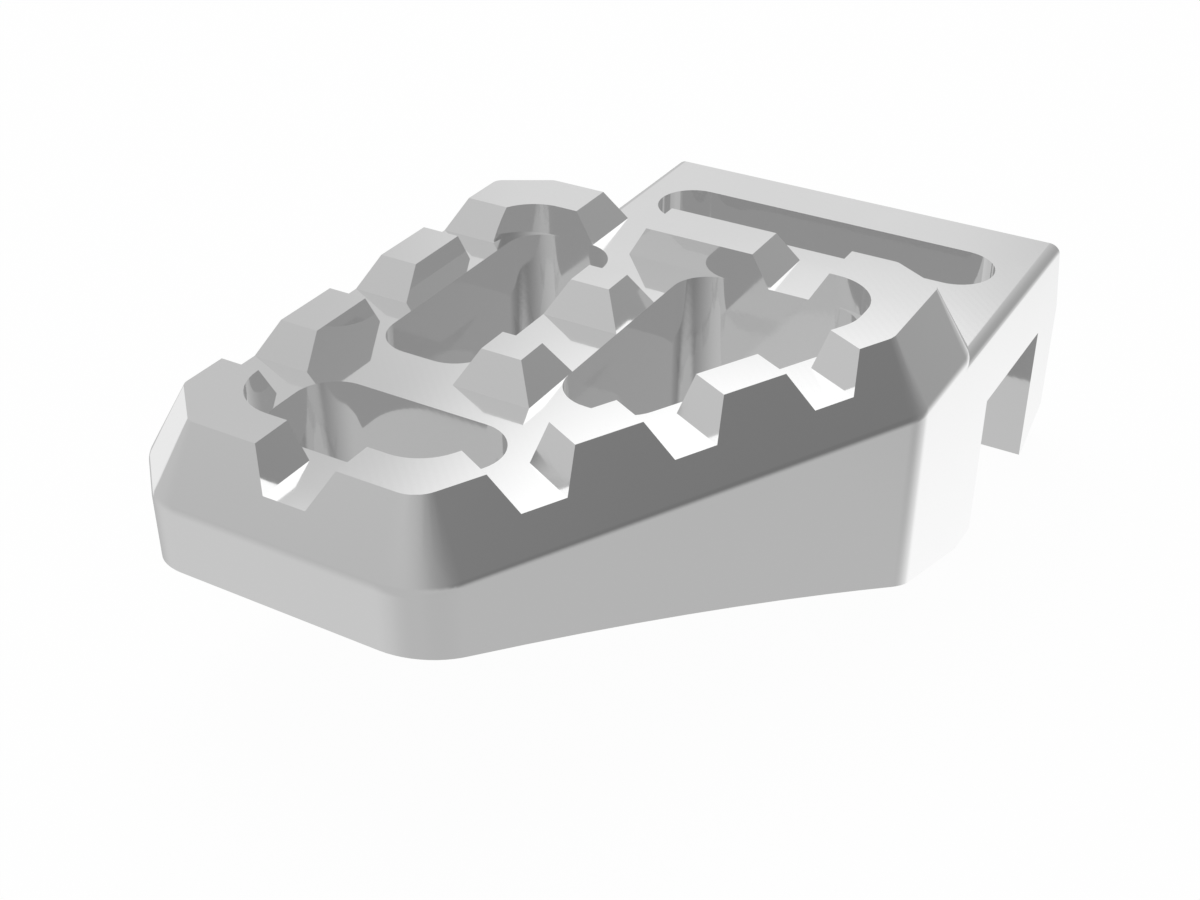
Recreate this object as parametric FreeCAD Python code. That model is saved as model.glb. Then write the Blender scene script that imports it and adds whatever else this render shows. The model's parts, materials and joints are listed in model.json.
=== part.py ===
import FreeCAD, Part

import math
import os

from FreeCAD import Vector

# A brake pedal extension milled from one aluminium billet: a toothed step pad, and behind it a
# slotted plate whose rear leg and front block close over a motorcycle's own brake pedal.
# All sizes are in millimetres. The part is drawn with the tops of its teeth at z = 0, the pad's
# left side at x = 0 and its front side at y = 0, and is moved to its own origin at the end.

# Step pad, measured round the tops of its teeth
PAD_WIDTH = 42.2
PAD_LENGTH = 48.2
FRONT_SIDE_LENGTH = 23.2
RIGHT_SIDE_LENGTH = 12.2
FRONT_CORNER_CUT = 3.75
BACK_CORNER_CUT_WIDTH = 4.5
BACK_CORNER_CUT_DEPTH = 2.6
CUT_CORNER_RADIUS = 1.0
FRONT_TURN_RADIUS = 2.5
RIGHT_TURN_RADIUS = 2.0

# Sloping flank from the tooth tops out to the vertical wall
FLANK_ANGLE = 60.0
FLANK_HEIGHT = 5.7
SHOULDER_RADIUS = 1.5

# Rim of teeth, and the grooves through it
TOOTH_HEIGHT = 2.85
TOOTH_FLANK_ANGLE = 60.0
RIM_WIDTH = 3.5
BACK_RIM_WIDTH = 4.7
RIM_INNER_RADIUS = 4.35
GROOVE_FLOOR_WIDTH = 3.65
LEFT_GROOVE_FRONT_MARGIN = 11.45
LEFT_GROOVE_BACK_MARGIN = 10.55
OBLIQUE_GROOVE_FRONT_MARGIN = 8.8
OBLIQUE_GROOVE_BACK_MARGIN = 6.8
FRONT_GROOVE_LEFT_MARGIN = 13.25
BACK_GROOVE_LEFT_MARGIN = 13.15
BACK_GROOVE_RIGHT_MARGIN = 12.05
GROOVES_PER_LONG_SIDE = 3

# Two teeth that stand free inside the rim
INNER_TOOTH_WIDTH = 3.55
INNER_TOOTH_LENGTH = 3.0
INNER_TOOTH_ROW = 17.7
INNER_TOOTH_FRONT_MARGIN = 20.4
INNER_TOOTH_BACK_MARGIN = 14.65

# Blind pockets in the floor between the teeth
POCKET_LEDGE = 1.15
POCKET_DEPTH = 7.25
POCKET_RADIUS = 3.4
FRONT_POCKET_END = 13.8
REAR_POCKET_START = 19.6

# Slotted plate behind the pad
PLATE_SETBACK = 5.95
PLATE_LENGTH = 18.4
PLATE_THICKNESS = 7.65
PLATE_EDGE_RADIUS = 1.0
SLOT_WIDTH = 7.0
SLOT_SETBACK = 9.45
SLOT_LEFT_MARGIN = 3.0
SLOT_RIGHT_MARGIN = 3.3

# Channel under the plate that drops over the pedal, and the leg behind it
CHANNEL_SETBACK = 1.15
CHANNEL_WIDTH = 14.15
LEG_THICKNESS = 5.45
REAR_SLOPE_HEIGHT = 7.3
LEG_TIP_WIDTH = 0.6
LEG_BEVEL_HEIGHT = 3.0

# Whole part and its hollow underside
TOTAL_HEIGHT = 26.8
FRONT_WALL_BOTTOM = 11.05
BOTTOM_FLAT_LENGTH = 3.6
UNDERSIDE_RADIUS = 288.0
UNDERSIDE_STRAIGHT = 15.4

# Length by which a cutting tool runs past the metal it cuts
OVERRUN = 2.0

# Most of a side that the arcs at its two ends may take up
SIDE_SHARE = 0.98

# Distance under which two places count as the same
SAME_PLACE = 0.0001

# Places worked out from the sizes above
FLANK_RUN = FLANK_HEIGHT / math.tan(math.radians(FLANK_ANGLE))
TOOTH_FLANK_RUN = TOOTH_HEIGHT / math.tan(math.radians(TOOTH_FLANK_ANGLE))
OBLIQUE_END = PAD_LENGTH - RIGHT_SIDE_LENGTH
OBLIQUE_ANGLE = math.atan2(OBLIQUE_END, PAD_WIDTH - FRONT_SIDE_LENGTH)
OBLIQUE_LENGTH = math.hypot(OBLIQUE_END, PAD_WIDTH - FRONT_SIDE_LENGTH)
RIGHT_WALL = PAD_WIDTH + FLANK_RUN
BACK_WALL = PAD_LENGTH + FLANK_RUN
PAD_FRONT = -FLANK_RUN
FLOOR = -TOOTH_HEIGHT
SHOULDER = -FLANK_HEIGHT
SEAT = SHOULDER - PLATE_THICKNESS
BOTTOM = -TOTAL_HEIGHT
CHANNEL_FRONT = BACK_WALL + CHANNEL_SETBACK
CHANNEL_BACK = CHANNEL_FRONT + CHANNEL_WIDTH
LEG_BACK = CHANNEL_BACK + LEG_THICKNESS
PLATE_BACK = BACK_WALL + PLATE_LENGTH
SLOT_MIDDLE = BACK_WALL + SLOT_SETBACK
SLOT_LEFT = PLATE_SETBACK + SLOT_LEFT_MARGIN
SLOT_RIGHT = RIGHT_WALL - SLOT_RIGHT_MARGIN


def corner_directions(corners, index):
    """Unit vectors from a corner of an outline back to the one before and on to the next."""
    corner = Vector(*corners[index][:2], 0)
    back = Vector(*corners[index - 1][:2], 0) - corner
    ahead = Vector(*corners[(index + 1) % len(corners)][:2], 0) - corner
    return back.normalize(), ahead.normalize()


def arc_reaches(corners):
    """How far along its sides each corner's arc reaches, limited to what the sides can hold."""
    reaches = []
    for index, (_, _, radius) in enumerate(corners):
        back, ahead = corner_directions(corners, index)
        reaches.append(radius / math.tan(back.getAngle(ahead) / 2))
    shares = []
    for index, (x, y, _) in enumerate(corners):
        following = (index + 1) % len(corners)
        side = math.dist((x, y), corners[following][:2])
        shares.append(min(1, SIDE_SHARE * side / (reaches[index] + reaches[following])))
    return [reach * min(shares[index], shares[index - 1]) for index, reach in enumerate(reaches)]


def rounded_outline(corners, height):
    """A closed wire through corners given as (x, y, radius), each rounded by its own arc."""
    arcs = []
    for index, reach in enumerate(arc_reaches(corners)):
        back, ahead = corner_directions(corners, index)
        half_angle = back.getAngle(ahead) / 2
        corner = Vector(*corners[index][:2], height)
        to_arc = reach * (1 - math.sin(half_angle)) / math.cos(half_angle)
        middle = corner + (back + ahead).normalize() * to_arc
        arcs.append(Part.Arc(corner + back * reach, middle, corner + ahead * reach))
    edges = []
    for arc, following in zip(arcs, arcs[1:] + arcs[:1]):
        edges.append(arc.toShape())
        edges.append(Part.LineSegment(arc.EndPoint, following.StartPoint).toShape())
    return Part.Wire(edges)


def prism(corners, low, high):
    """The solid between two heights inside a rounded outline."""
    face = Part.Face(rounded_outline(corners, low))
    return face.extrude(Vector(0, 0, high - low))


def moved_corners(corners, distance):
    """The same outline moved outwards by a distance, with its arcs kept concentric."""
    moved = []
    for index, (x, y, radius) in enumerate(corners):
        back, ahead = corner_directions(corners, index)
        outwards = -(back + ahead).normalize()
        place = Vector(x, y, 0) + outwards * (distance / math.sin(back.getAngle(ahead) / 2))
        moved.append((place.x, place.y, radius + distance))
    return moved


def oblique_x(y, inset):
    """Where the oblique side, moved inwards by an inset, stands at a given y."""
    return FRONT_SIDE_LENGTH + y / math.tan(OBLIQUE_ANGLE) - inset / math.sin(OBLIQUE_ANGLE)


def oblique_y(x, inset):
    """The inverse of oblique_x."""
    return (x - FRONT_SIDE_LENGTH + inset / math.sin(OBLIQUE_ANGLE)) * math.tan(OBLIQUE_ANGLE)


def crown_corners():
    """Outline of the tooth tops, counter-clockwise from the front left."""
    return [
        (FRONT_CORNER_CUT, 0, CUT_CORNER_RADIUS),
        (FRONT_SIDE_LENGTH, 0, FRONT_TURN_RADIUS),
        (PAD_WIDTH, OBLIQUE_END, RIGHT_TURN_RADIUS),
        (PAD_WIDTH, PAD_LENGTH - BACK_CORNER_CUT_DEPTH, CUT_CORNER_RADIUS),
        (PAD_WIDTH - BACK_CORNER_CUT_WIDTH, PAD_LENGTH, CUT_CORNER_RADIUS),
        (BACK_CORNER_CUT_WIDTH, PAD_LENGTH, CUT_CORNER_RADIUS),
        (0, PAD_LENGTH - BACK_CORNER_CUT_DEPTH, CUT_CORNER_RADIUS),
        (0, FRONT_CORNER_CUT, CUT_CORNER_RADIUS),
    ]


def inset_corners(inset, back_inset, radius):
    """The pad's five main sides moved inwards, with the back side's own inset."""
    left = inset
    right = PAD_WIDTH - inset
    back = PAD_LENGTH - back_inset
    return [
        (left, inset, radius),
        (oblique_x(inset, inset), inset, radius),
        (right, oblique_y(right, inset), radius),
        (right, back, radius),
        (left, back, radius),
    ]


def lies_at(edge, height):
    """Whether an edge lies level at a height."""
    box = edge.BoundBox
    return abs(box.ZMin - height) < SAME_PLACE and abs(box.ZMax - height) < SAME_PLACE


def pad_block():
    """The pad before its top is cut: upright walls, a sloping flank and a soft shoulder."""
    wall_corners = moved_corners(crown_corners(), FLANK_RUN)
    walls = prism(wall_corners, BOTTOM, SHOULDER)
    foot = rounded_outline(wall_corners, SHOULDER)
    top = rounded_outline(crown_corners(), 0)
    flank = Part.makeLoft([foot, top], True, True)
    block = walls.fuse(flank).removeSplitter()
    shoulder_edges = [edge for edge in block.Edges if lies_at(edge, SHOULDER)]
    return block.makeFillet(SHOULDER_RADIUS, shoulder_edges)


def plate_block():
    """The plate before its channel is cut, with its two long top edges rounded."""
    start = BACK_WALL - BACK_RIM_WIDTH - FLANK_RUN
    size = Vector(RIGHT_WALL - PLATE_SETBACK, LEG_BACK - start, SHOULDER - BOTTOM)
    block = Part.makeBox(size.x, size.y, size.z, Vector(PLATE_SETBACK, start, BOTTOM))
    top_edges = [edge for edge in block.Edges if lies_at(edge, SHOULDER)]
    side_edges = [edge for edge in top_edges if edge.BoundBox.XLength < SAME_PLACE]
    return block.makeFillet(PLATE_EDGE_RADIUS, side_edges)


def underside():
    """The hollow underside seen from the side: an arc from the front, then a straight run back.

    The arc passes through the foot of the front wall, and the straight run leaves it without a
    corner and ends at the bottom flat.
    """
    front = Vector(0, PAD_FRONT, -FRONT_WALL_BOTTOM)
    rear = Vector(0, CHANNEL_FRONT - BOTTOM_FLAT_LENGTH, BOTTOM)
    chord = front - rear
    reach = math.hypot(UNDERSIDE_RADIUS, UNDERSIDE_STRAIGHT)
    along = (UNDERSIDE_STRAIGHT ** 2 + chord.Length ** 2) / (2 * chord.Length)
    chord.normalize()
    below = Vector(0, -chord.z, chord.y)
    centre = rear + chord * along + below * math.sqrt(reach ** 2 - along ** 2)
    to_centre = (centre - rear).normalize()
    turn = math.atan2(UNDERSIDE_RADIUS, UNDERSIDE_STRAIGHT)
    forwards = to_centre * math.cos(turn) + Vector(0, to_centre.z, -to_centre.y) * math.sin(turn)
    join = rear + forwards * UNDERSIDE_STRAIGHT

    def on_arc(y):
        return Vector(0, y, centre.z + math.sqrt(UNDERSIDE_RADIUS ** 2 - (y - centre.y) ** 2))

    arc = Part.Arc(on_arc(PAD_FRONT - OVERRUN), on_arc((PAD_FRONT + join.y) / 2), join)
    return arc, rear


def side_profile():
    """The part's outline seen from its side, drawn right across it: what it keeps of the blocks."""
    arc, flat_start = underside()
    rear_lean = (LEG_BACK - PLATE_BACK) / REAR_SLOPE_HEIGHT
    points = [
        arc.EndPoint,
        flat_start,
        Vector(0, CHANNEL_FRONT, BOTTOM),
        Vector(0, CHANNEL_FRONT, SEAT),
        Vector(0, CHANNEL_BACK, SEAT),
        Vector(0, CHANNEL_BACK, BOTTOM),
        Vector(0, CHANNEL_BACK + LEG_TIP_WIDTH, BOTTOM),
        Vector(0, LEG_BACK, BOTTOM + LEG_BEVEL_HEIGHT),
        Vector(0, LEG_BACK, SHOULDER - REAR_SLOPE_HEIGHT),
        Vector(0, PLATE_BACK - rear_lean * (OVERRUN - SHOULDER), OVERRUN),
        Vector(0, PAD_FRONT - OVERRUN, OVERRUN),
        arc.StartPoint,
    ]
    edges = [arc.toShape()]
    for first, last in zip(points, points[1:]):
        edges.append(Part.LineSegment(first, last).toShape())
    face = Part.Face(Part.Wire(edges))
    left = -FLANK_RUN - OVERRUN
    face.translate(Vector(left, 0, 0))
    return face.extrude(Vector(RIGHT_WALL + OVERRUN - left, 0, 0))


def inner_tooth(y):
    """A four-sided tooth that stands on the floor, sloping on all its sides."""
    rings = []
    for height, spread in ((FLOOR, TOOTH_FLANK_RUN), (0, 0)):
        half_width = INNER_TOOTH_WIDTH / 2 + spread
        half_length = INNER_TOOTH_LENGTH / 2 + spread
        rings.append(Part.makePolygon([
            Vector(INNER_TOOTH_ROW - half_width, y - half_length, height),
            Vector(INNER_TOOTH_ROW + half_width, y - half_length, height),
            Vector(INNER_TOOTH_ROW + half_width, y + half_length, height),
            Vector(INNER_TOOTH_ROW - half_width, y + half_length, height),
            Vector(INNER_TOOTH_ROW - half_width, y - half_length, height),
        ]))
    return Part.makeLoft(rings, True, True)


def floor_recess():
    """The space inside the rim down to the floor, less the two teeth that stand in it."""
    recess = prism(inset_corners(RIM_WIDTH, BACK_RIM_WIDTH, RIM_INNER_RADIUS), FLOOR, OVERRUN)
    front_tooth = inner_tooth(INNER_TOOTH_FRONT_MARGIN)
    back_tooth = inner_tooth(PAD_LENGTH - INNER_TOOTH_BACK_MARGIN)
    return recess.cut([front_tooth, back_tooth])


def groove(place, outwards):
    """A groove with sloping sides that runs out through the rim at a place on its top edge."""
    along = Vector(-outwards.y, outwards.x, 0)
    top_spread = TOOTH_FLANK_RUN * (TOOTH_HEIGHT + OVERRUN) / TOOTH_HEIGHT
    inner_end = place - outwards * (BACK_RIM_WIDTH + OVERRUN)
    half_floor = GROOVE_FLOOR_WIDTH / 2
    section = [
        inner_end + along * half_floor + Vector(0, 0, FLOOR),
        inner_end + along * (half_floor + top_spread) + Vector(0, 0, OVERRUN),
        inner_end - along * (half_floor + top_spread) + Vector(0, 0, OVERRUN),
        inner_end - along * half_floor + Vector(0, 0, FLOOR),
    ]
    face = Part.Face(Part.makePolygon(section + section[:1]))
    return face.extrude(outwards * (BACK_RIM_WIDTH + FLANK_RUN + 2 * OVERRUN))


def spread(first, last, count):
    """Places spaced evenly from the first to the last."""
    return [first + (last - first) * index / (count - 1) for index in range(count)]


def rim_grooves():
    """Every groove through the rim, each square to its side of the pad."""
    grooves = [groove(Vector(FRONT_GROOVE_LEFT_MARGIN, 0, 0), Vector(0, -1, 0))]
    for x in (BACK_GROOVE_LEFT_MARGIN, PAD_WIDTH - BACK_GROOVE_RIGHT_MARGIN):
        grooves.append(groove(Vector(x, PAD_LENGTH, 0), Vector(0, 1, 0)))
    left_end = PAD_LENGTH - LEFT_GROOVE_BACK_MARGIN
    for y in spread(LEFT_GROOVE_FRONT_MARGIN, left_end, GROOVES_PER_LONG_SIDE):
        grooves.append(groove(Vector(0, y, 0), Vector(-1, 0, 0)))
    along = Vector(math.cos(OBLIQUE_ANGLE), math.sin(OBLIQUE_ANGLE), 0)
    oblique_end = OBLIQUE_LENGTH - OBLIQUE_GROOVE_BACK_MARGIN
    for distance in spread(OBLIQUE_GROOVE_FRONT_MARGIN, oblique_end, GROOVES_PER_LONG_SIDE):
        place = Vector(FRONT_SIDE_LENGTH, 0, 0) + along * distance
        grooves.append(groove(place, Vector(along.y, -along.x, 0)))
    return grooves


def pockets():
    """Three blind pockets: one across the front, and one each side of the rib behind it."""
    inset = RIM_WIDTH + POCKET_LEDGE
    right = PAD_WIDTH - inset
    back = PAD_LENGTH - BACK_RIM_WIDTH
    half_rib = INNER_TOOTH_WIDTH / 2 + TOOTH_FLANK_RUN
    outlines = [
        [
            (inset, inset),
            (oblique_x(inset, inset), inset),
            (oblique_x(FRONT_POCKET_END, inset), FRONT_POCKET_END),
            (inset, FRONT_POCKET_END),
        ],
        [
            (inset, REAR_POCKET_START),
            (INNER_TOOTH_ROW - half_rib, REAR_POCKET_START),
            (INNER_TOOTH_ROW - half_rib, back),
            (inset, back),
        ],
        [
            (INNER_TOOTH_ROW + half_rib, REAR_POCKET_START),
            (oblique_x(REAR_POCKET_START, inset), REAR_POCKET_START),
            (right, oblique_y(right, inset)),
            (right, back),
            (INNER_TOOTH_ROW + half_rib, back),
        ],
    ]
    floor = FLOOR - POCKET_DEPTH
    return [
        prism([(x, y, POCKET_RADIUS) for x, y in outline], floor, FLOOR + OVERRUN)
        for outline in outlines
    ]


def screw_slot():
    """The slot with round ends through the plate, wide enough for the clamping screws."""
    radius = SLOT_WIDTH / 2
    low = SEAT - OVERRUN
    height = PLATE_THICKNESS + 2 * OVERRUN
    left_end = Vector(SLOT_LEFT + radius, SLOT_MIDDLE, low)
    right_end = Vector(SLOT_RIGHT - radius, SLOT_MIDDLE, low)
    middle = Part.makeBox((right_end - left_end).x, SLOT_WIDTH, height, left_end - Vector(0, radius, 0))
    ends = [Part.makeCylinder(radius, height, end) for end in (left_end, right_end)]
    return middle.fuse(ends)


def pedal_extension():
    """The whole part in its own frame: its origin is the slot's middle, on the pedal's seat."""
    body = pad_block().fuse(plate_block()).common(side_profile())
    body = body.cut([floor_recess(), screw_slot()] + rim_grooves() + pockets())
    body = body.removeSplitter()
    solid = body.Solids[0]
    origin = Vector((SLOT_LEFT + SLOT_RIGHT) / 2, SLOT_MIDDLE, SEAT)
    solid.translate(-origin)
    return solid


os.makedirs("parts", exist_ok=True)
pedal_extension().exportStep("parts/pedal_extension.step")
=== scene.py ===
import json
import math
import bpy
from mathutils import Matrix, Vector

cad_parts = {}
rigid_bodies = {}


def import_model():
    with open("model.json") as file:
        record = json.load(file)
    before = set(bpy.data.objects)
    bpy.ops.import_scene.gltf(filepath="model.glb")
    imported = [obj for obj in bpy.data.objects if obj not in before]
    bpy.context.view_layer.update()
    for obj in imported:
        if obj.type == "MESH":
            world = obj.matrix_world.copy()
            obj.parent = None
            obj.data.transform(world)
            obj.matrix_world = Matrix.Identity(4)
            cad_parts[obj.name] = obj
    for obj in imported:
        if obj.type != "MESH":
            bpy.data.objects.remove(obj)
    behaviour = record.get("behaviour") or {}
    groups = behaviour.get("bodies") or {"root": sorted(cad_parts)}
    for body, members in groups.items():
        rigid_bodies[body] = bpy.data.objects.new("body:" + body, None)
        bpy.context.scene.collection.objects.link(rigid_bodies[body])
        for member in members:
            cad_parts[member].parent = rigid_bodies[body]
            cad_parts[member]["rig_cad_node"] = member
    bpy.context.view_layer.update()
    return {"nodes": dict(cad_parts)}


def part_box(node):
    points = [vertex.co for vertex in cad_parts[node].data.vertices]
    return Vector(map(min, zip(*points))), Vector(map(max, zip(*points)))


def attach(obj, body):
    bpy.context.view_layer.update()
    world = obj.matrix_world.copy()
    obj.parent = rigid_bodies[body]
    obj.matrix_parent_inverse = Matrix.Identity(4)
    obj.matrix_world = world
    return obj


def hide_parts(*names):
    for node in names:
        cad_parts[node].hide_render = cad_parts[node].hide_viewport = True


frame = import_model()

# The pedal extension is one piece, milled from a single bar of aluminium.
# Its faces come straight off the cutters and stay bare: nearly mirror bright, with
# faint cutter lines and slightly duller patches, and every sharp edge is just broken.
MILLIMETRE = 0.001
BROKEN_EDGE = 0.05 * MILLIMETRE
BROKEN_EDGE_STEPS = 2
SHARP_ANGLE = math.radians(16.5)
SMOOTH_ANGLE = SHARP_ANGLE * 3
FLAT_ANGLE = math.radians(0.2)
MERGE_DISTANCE = 0.0005 * MILLIMETRE
ABOVE_THE_GROOVES = 10.6 * MILLIMETRE
BELOW_THE_TOOTH_TOPS = 13.34 * MILLIMETRE
bpy.ops.object.select_all(action="DESELECT")
solid = frame["nodes"]["pedal_extension"]
solid.select_set(True)
bpy.context.view_layer.objects.active = solid
bpy.ops.object.duplicate()
extension = bpy.context.object
extension.name = "milled_pedal_extension"
del extension["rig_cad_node"]

# The loose triangles are joined, those that lie flat become whole faces, and the points
# on the sharp edges are left selected.
bpy.ops.object.mode_set(mode="EDIT")
bpy.ops.mesh.select_all(action="SELECT")
bpy.ops.mesh.remove_doubles(threshold=MERGE_DISTANCE)
bpy.ops.mesh.customdata_custom_splitnormals_clear()
bpy.ops.mesh.select_all(action="SELECT")
bpy.ops.mesh.dissolve_limited(angle_limit=FLAT_ANGLE)
bpy.ops.mesh.select_mode(type="EDGE")
bpy.ops.mesh.select_all(action="DESELECT")
bpy.ops.mesh.edges_select_sharp(sharpness=SHARP_ANGLE)
bpy.ops.object.mode_set(mode="OBJECT")

# Points that lie loose on the flank's rounded corners go to the corners' own ends,
# so that each corner shades evenly.
points = extension.data.vertices
loose = [p for p in points if ABOVE_THE_GROOVES < p.co.z < BELOW_THE_TOOTH_TOPS and not p.select]
fixed = [p for p in points if p not in loose]
for point in loose:
    point.co = min(fixed, key=lambda other: (other.co - point.co).length).co
bpy.ops.object.mode_set(mode="EDIT")
bpy.ops.mesh.select_mode(type="VERT")
bpy.ops.mesh.select_all(action="SELECT")
bpy.ops.mesh.remove_doubles(threshold=MERGE_DISTANCE)
bpy.ops.mesh.dissolve_limited(angle_limit=FLAT_ANGLE)

# The level top of each tooth becomes one face.
bpy.ops.mesh.select_mode(type="FACE")
bpy.ops.mesh.select_all(action="DESELECT")
bpy.ops.object.mode_set(mode="OBJECT")
for face in extension.data.polygons:
    face.select = face.center.z > BELOW_THE_TOOTH_TOPS
bpy.ops.object.mode_set(mode="EDIT")
bpy.ops.mesh.dissolve_faces()
bpy.ops.object.mode_set(mode="OBJECT")

# Every sharp edge gets its narrow break, and the shading is evened over the faces beside it.
edge_break = extension.modifiers.new("edge break", "BEVEL")
edge_break.limit_method = "ANGLE"
edge_break.angle_limit = SHARP_ANGLE
edge_break.width = BROKEN_EDGE
edge_break.segments = BROKEN_EDGE_STEPS
bpy.ops.object.modifier_apply(modifier=edge_break.name)
bpy.ops.object.shade_smooth_by_angle(angle=SMOOTH_ANGLE)
even_shading = extension.modifiers.new("even shading", "WEIGHTED_NORMAL")
even_shading.mode = "FACE_AREA_WITH_ANGLE"
even_shading.keep_sharp = True
bpy.ops.object.modifier_apply(modifier=even_shading.name)

ALUMINIUM = (0.905, 0.905, 0.905, 1.0)
FACE_ROUGHNESS = 0.045
DULL_PATCH_ROUGHNESS = 0.10
DULL_PATCH_SCALE = 90.0
DULL_PATCH_DETAIL = 4.0
DULL_PATCH_START = 0.4
DULL_PATCH_FULL = 0.7
CUTTER_LINE_SCALE = 700.0
CUTTER_LINE_WANDER = 1.5
CUTTER_LINE_DEPTH = 0.01 * MILLIMETRE
CUTTER_LINE_STRENGTH = 0.03
MEETINGS_WITH_THE_METAL = 2
LIGHT_LEFT_AFTER_THEM = (0.96, 0.96, 0.96, 1.0)


def new_node(tree, kind, **settings):
    node = tree.nodes.new(kind)
    for name, value in settings.items():
        if name in node.inputs:
            node.inputs[name].default_value = value
        else:
            setattr(node, name, value)
    return node


def machined_aluminium():
    material = bpy.data.materials.new("machined aluminium")
    material.use_nodes = True
    tree = material.node_tree
    surface = tree.nodes["Principled BSDF"]
    surface.inputs["Metallic"].default_value = 1.0
    surface.inputs["Base Color"].default_value = ALUMINIUM
    place = new_node(tree, "ShaderNodeTexCoord")

    patches = new_node(tree, "ShaderNodeTexNoise", Scale=DULL_PATCH_SCALE, Detail=DULL_PATCH_DETAIL)
    tree.links.new(place.outputs["Object"], patches.inputs["Vector"])
    face_roughness = new_node(tree, "ShaderNodeMapRange")
    face_roughness.inputs["From Min"].default_value = DULL_PATCH_START
    face_roughness.inputs["From Max"].default_value = DULL_PATCH_FULL
    face_roughness.inputs["To Min"].default_value = FACE_ROUGHNESS
    face_roughness.inputs["To Max"].default_value = DULL_PATCH_ROUGHNESS
    tree.links.new(patches.outputs["Fac"], face_roughness.inputs["Value"])
    tree.links.new(face_roughness.outputs["Result"], surface.inputs["Roughness"])

    cutter_lines = new_node(tree, "ShaderNodeTexWave", wave_type="BANDS", bands_direction="DIAGONAL")
    cutter_lines.inputs["Scale"].default_value = CUTTER_LINE_SCALE
    cutter_lines.inputs["Distortion"].default_value = CUTTER_LINE_WANDER
    tree.links.new(place.outputs["Object"], cutter_lines.inputs["Vector"])
    relief = new_node(tree, "ShaderNodeBump", Strength=CUTTER_LINE_STRENGTH, Distance=CUTTER_LINE_DEPTH)
    tree.links.new(cutter_lines.outputs["Fac"], relief.inputs["Height"])
    tree.links.new(relief.outputs["Normal"], surface.inputs["Normal"])

    # A reflection that has met the metal twice looks on to the room, as in the photograph,
    # so the pockets and the slot stay calm inside.
    ray = new_node(tree, "ShaderNodeLightPath")
    third_meeting = new_node(tree, "ShaderNodeMath", operation="GREATER_THAN")
    third_meeting.inputs[1].default_value = MEETINGS_WITH_THE_METAL - 0.5
    tree.links.new(ray.outputs["Ray Depth"], third_meeting.inputs[0])
    open_air = new_node(tree, "ShaderNodeBsdfTransparent", Color=LIGHT_LEFT_AFTER_THEM)
    choice = new_node(tree, "ShaderNodeMixShader")
    tree.links.new(third_meeting.outputs["Value"], choice.inputs["Fac"])
    tree.links.new(surface.outputs["BSDF"], choice.inputs[1])
    tree.links.new(open_air.outputs["BSDF"], choice.inputs[2])
    tree.links.new(choice.outputs["Shader"], tree.nodes["Material Output"].inputs["Surface"])
    return material


extension.data.materials.clear()
extension.data.materials.append(machined_aluminium())
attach(extension, "root")
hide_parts("pedal_extension")

# The part stands on a wide sheet of pale studio paper, which lies just under its lowest edges.
# The paper shows white to the camera and keeps a soft, faint shadow of the part.
PAPER = (0.86, 0.86, 0.86, 1.0)
PAPER_ROUGHNESS = 0.9
PAPER_WHITE_SHARE = 0.97
PAPER_WIDTH = 4.0
PAPER_GAP = 0.1 * MILLIMETRE
lowest_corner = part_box("pedal_extension")[0]
bpy.ops.object.select_all(action="DESELECT")
bpy.ops.mesh.primitive_plane_add(size=PAPER_WIDTH, location=(0.0, 0.0, lowest_corner.z - PAPER_GAP))
paper = bpy.context.object
paper.name = "paper floor"
paper_material = bpy.data.materials.new("white paper")
paper_material.use_nodes = True
paper_tree = paper_material.node_tree
sheet = paper_tree.nodes["Principled BSDF"]
sheet.inputs["Base Color"].default_value = PAPER
sheet.inputs["Roughness"].default_value = PAPER_ROUGHNESS
white = new_node(paper_tree, "ShaderNodeEmission", Strength=1.0)
paper_ray = new_node(paper_tree, "ShaderNodeLightPath")
white_share = new_node(paper_tree, "ShaderNodeMath", operation="MULTIPLY")
white_share.inputs[1].default_value = PAPER_WHITE_SHARE
paper_tree.links.new(paper_ray.outputs["Is Camera Ray"], white_share.inputs[0])
paper_mix = new_node(paper_tree, "ShaderNodeMixShader")
paper_tree.links.new(white_share.outputs["Value"], paper_mix.inputs["Fac"])
paper_tree.links.new(sheet.outputs["BSDF"], paper_mix.inputs[1])
paper_tree.links.new(white.outputs["Emission"], paper_mix.inputs[2])
paper_tree.links.new(paper_mix.outputs["Shader"], paper_tree.nodes["Material Output"].inputs["Surface"])
paper.data.materials.append(paper_material)
paper.visible_glossy = False

# The studio is a white room with soft pools of light and shade on its walls.
# The camera sees it plain white; the metal mirrors the pools, which give its greys.
WHITE = (1.0, 1.0, 1.0, 1.0)
ROOM_LEVEL = 0.58
DIM_GROUND = 0.36

# Each pool has a name, its direction in degrees round from the right and up from level,
# its width in degrees, how soft its edge is and how bright it is. Later pools lie over earlier ones.
# Most of these numbers come from a fit to the photograph's greys and were then rounded, and
# some were moved afterwards. They are not a studio that was laid out by hand.
POOLS = [
    ("shade on the right", 5, 2, 110, 1.0, 0.18),
    ("glow behind", 115, 25, 15, 0.6, 0.73),
    ("ground in front", -95, -59, 93, 0.25, 0.5),
    ("light low behind", 84, -42, 46, 0.85, 1.03),
    ("ground on the left", -145, -38, 55, 0.8, 0.62),
    ("small light on the left", 163, -14, 13, 0.5, 0.88),
    ("shade low behind", 111, -28, 27, 0.85, 0.29),
    ("shade low in front", -35, -25, 33, 0.8, 0.48),
    ("pale ceiling on the right", 0, 66, 40, 0.08, 0.49),
    ("window behind", 111, 45, 20, 0.4, 1.22),
    ("window further left", 134, 47, 14, 0.4, 1.2),
]


def toward(azimuth, elevation):
    flat = math.cos(math.radians(elevation))
    east = flat * math.cos(math.radians(azimuth))
    north = flat * math.sin(math.radians(azimuth))
    return Vector((east, north, math.sin(math.radians(elevation))))


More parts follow.
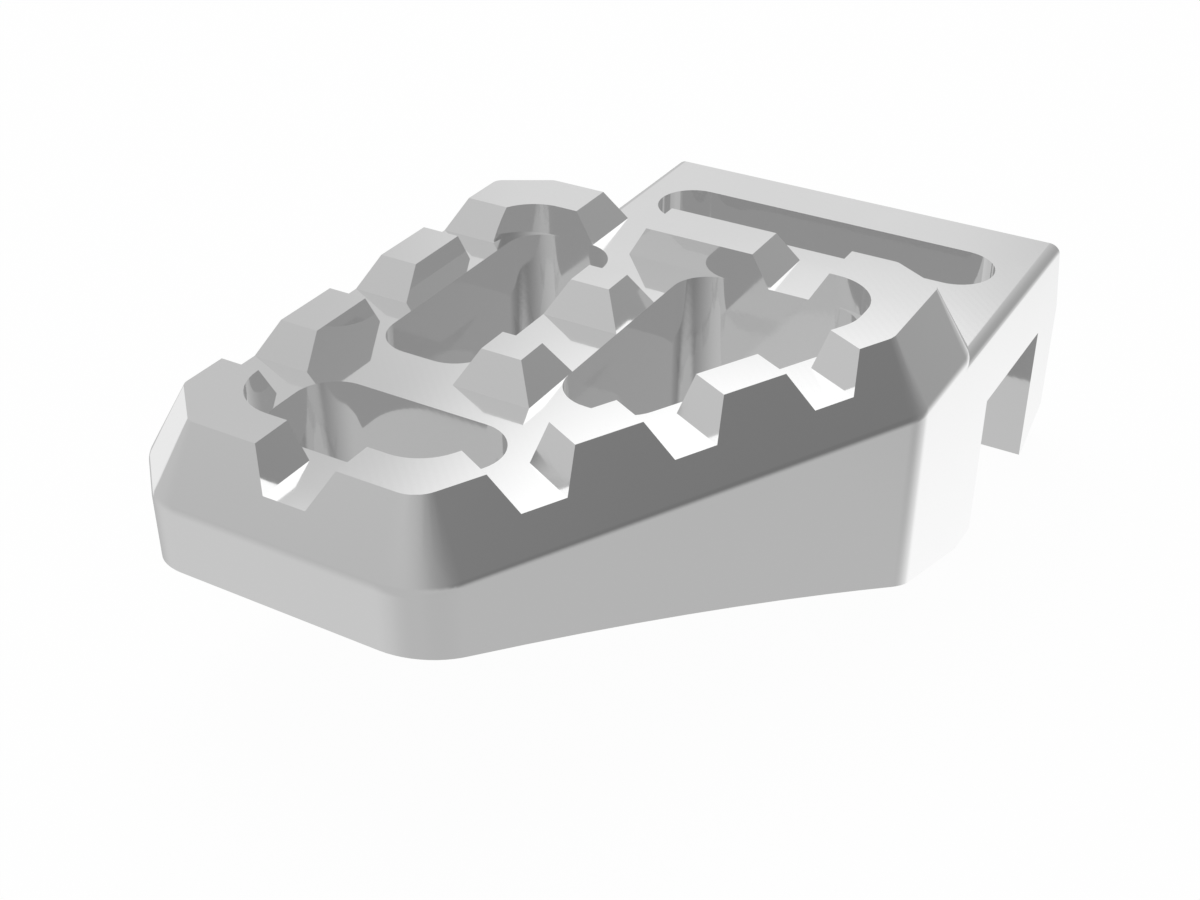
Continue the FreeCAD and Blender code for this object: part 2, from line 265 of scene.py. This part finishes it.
room = bpy.data.worlds.new("studio room")
bpy.context.scene.world = room
room.use_nodes = True
room_tree = room.node_tree
direction = new_node(room_tree, "ShaderNodeTexCoord")
blends = []
for name, azimuth, elevation, width, softness, brightness in POOLS:
    nearness = new_node(room_tree, "ShaderNodeVectorMath", operation="DOT_PRODUCT", label=name)
    nearness.inputs[1].default_value = toward(azimuth, elevation)
    room_tree.links.new(direction.outputs["Generated"], nearness.inputs[0])
    angle = new_node(room_tree, "ShaderNodeMath", operation="ARCCOSINE")
    room_tree.links.new(nearness.outputs["Value"], angle.inputs[0])
    pool = new_node(room_tree, "ShaderNodeMapRange", interpolation_type="SMOOTHSTEP")
    pool.inputs["From Min"].default_value = math.radians(width)
    pool.inputs["From Max"].default_value = math.radians(width * (1 - softness))
    room_tree.links.new(angle.outputs["Value"], pool.inputs["Value"])
    blend = new_node(room_tree, "ShaderNodeMix", data_type="FLOAT", A=ROOM_LEVEL, B=brightness)
    room_tree.links.new(pool.outputs["Result"], blend.inputs["Factor"])
    if blends:
        room_tree.links.new(blends[-1].outputs["Result"], blend.inputs["A"])
    blends.append(blend)

# A look that has gone on through the metal and points downwards meets plain dim ground.
height = new_node(room_tree, "ShaderNodeSeparateXYZ")
room_tree.links.new(direction.outputs["Generated"], height.inputs["Vector"])
downward = new_node(room_tree, "ShaderNodeMath", operation="LESS_THAN")
downward.inputs[1].default_value = 0.0
room_tree.links.new(height.outputs["Z"], downward.inputs[0])
room_ray = new_node(room_tree, "ShaderNodeLightPath")
through_the_metal = new_node(room_tree, "ShaderNodeMath", operation="MULTIPLY", use_clamp=True)
room_tree.links.new(room_ray.outputs["Transparent Depth"], through_the_metal.inputs[0])
room_tree.links.new(downward.outputs["Value"], through_the_metal.inputs[1])
ground_blend = new_node(room_tree, "ShaderNodeMix", data_type="FLOAT", B=DIM_GROUND)
room_tree.links.new(through_the_metal.outputs["Value"], ground_blend.inputs["Factor"])
room_tree.links.new(blends[-1].outputs["Result"], ground_blend.inputs["A"])
walls = room_tree.nodes["Background"]
walls.inputs["Color"].default_value = WHITE
room_tree.links.new(ground_blend.outputs["Result"], walls.inputs["Strength"])
backdrop = new_node(room_tree, "ShaderNodeBackground", Color=WHITE)
room_mix = new_node(room_tree, "ShaderNodeMixShader")
room_tree.links.new(room_ray.outputs["Is Camera Ray"], room_mix.inputs["Fac"])
room_tree.links.new(walls.outputs["Background"], room_mix.inputs[1])
room_tree.links.new(backdrop.outputs["Background"], room_mix.inputs[2])
room_tree.links.new(room_mix.outputs["Shader"], room_tree.nodes["World Output"].inputs["Surface"])

# A wide soft lamp hangs over the part and gives the paper its faint shadow.
# It is kept weak, so that it adds no glare of its own to the metal.
LAMP_POWER = 2.0
LAMP_SIZE = 0.5
LAMP_PLACE = (-0.15, 0.10, 0.60)
lamp_light = bpy.data.lights.new("soft lamp", "AREA")
lamp_light.size = LAMP_SIZE
lamp_light.energy = LAMP_POWER
lamp = bpy.data.objects.new("soft lamp", lamp_light)
lamp.location = LAMP_PLACE
lamp.rotation_euler = (Vector((0, 0, 0)) - lamp.location).to_track_quat("-Z", "Y").to_euler()
lamp.visible_glossy = False
bpy.context.scene.collection.objects.link(lamp)

# The camera stands in front and to the right, above the part, where the photograph was taken.
# It is a plain lens with no shift and no blur.
LENS_LENGTH = 51.108
SENSOR_WIDTH = 36.0
NEAREST_IN_VIEW = 0.005
CAMERA_PLACE = (0.054082, -0.134572, 0.076261)
CAMERA_TILT = math.radians(57.263)
CAMERA_TURN = math.radians(29.992)
camera_lens = bpy.data.cameras.new("camera")
camera_lens.lens = LENS_LENGTH
camera_lens.sensor_width = SENSOR_WIDTH
camera_lens.sensor_fit = "HORIZONTAL"
camera_lens.clip_start = NEAREST_IN_VIEW
camera = bpy.data.objects.new("camera", camera_lens)
camera.location = CAMERA_PLACE
camera.rotation_euler = (CAMERA_TILT, 0.0, CAMERA_TURN)
bpy.context.scene.collection.objects.link(camera)
bpy.context.scene.camera = camera
bpy.context.scene.view_settings.view_transform = "Standard"
